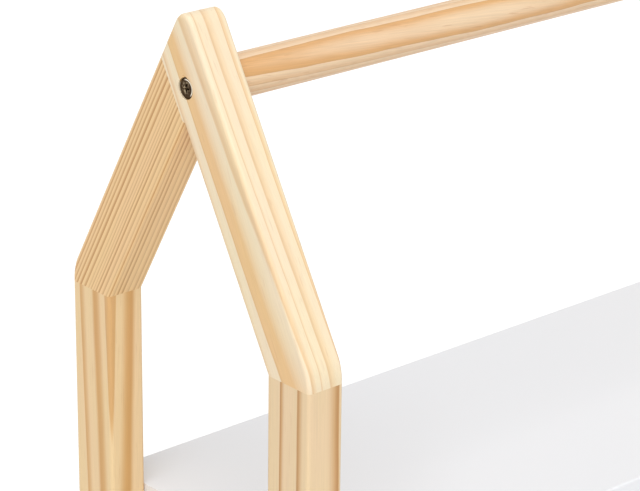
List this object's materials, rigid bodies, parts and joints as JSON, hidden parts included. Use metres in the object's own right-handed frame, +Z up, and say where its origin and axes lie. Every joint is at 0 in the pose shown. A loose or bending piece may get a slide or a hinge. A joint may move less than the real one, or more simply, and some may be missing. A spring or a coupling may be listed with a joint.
{
  "type": "house shaped bookcase",
  "caption": "Tall open bookcase with house shaped pine gables, a round ridge pole, white shelves and a white back panel.",
  "frame": {"origin": "on the floor, under the middle of the whole case", "axes": "+X to the right along the ridge pole, +Y to the rear, +Z up"},
  "size_m": [0.8, 0.265, 1.125],
  "materials": {
    "pine": "pale pine, matt clear lacquer",
    "ridge_pine": "round pine pole, matt clear lacquer",
    "white_board": "board with satin white lacquer",
    "white_panel": "thin board, white face",
    "bronze": "dark bronze plating, slightly worn",
    "zinc": "zinc plated",
    "beech": "plain",
    "glide_plastic": "white plastic"
  },
  "bodies": {
    "root": {"left_front_post": "pine", "left_rear_post": "pine", "right_front_post": "pine", "right_rear_post": "pine", "left_front_rafter": "pine", "left_rear_rafter": "pine", "right_front_rafter": "pine", "right_rear_rafter": "pine", "left_bottom_rail": "pine", "right_bottom_rail": "pine", "ridge_pole": "ridge_pine", "ridge_inserts": "zinc", "ridge_bolts": "bronze", "top_shelf": "white_board", "middle_shelf": "white_board", "bottom_shelf": "white_board", "back_panel": "white_panel", "shelf_bolts": "bronze", "shelf_barrel_nuts": "zinc", "post_dowels": "beech", "peak_dowels": "beech", "rail_dowels": "beech", "panel_screws": "zinc", "left_front_glide": "glide_plastic", "left_rear_glide": "glide_plastic", "right_front_glide": "glide_plastic", "right_rear_glide": "glide_plastic"}
  },
  "joints": []
}
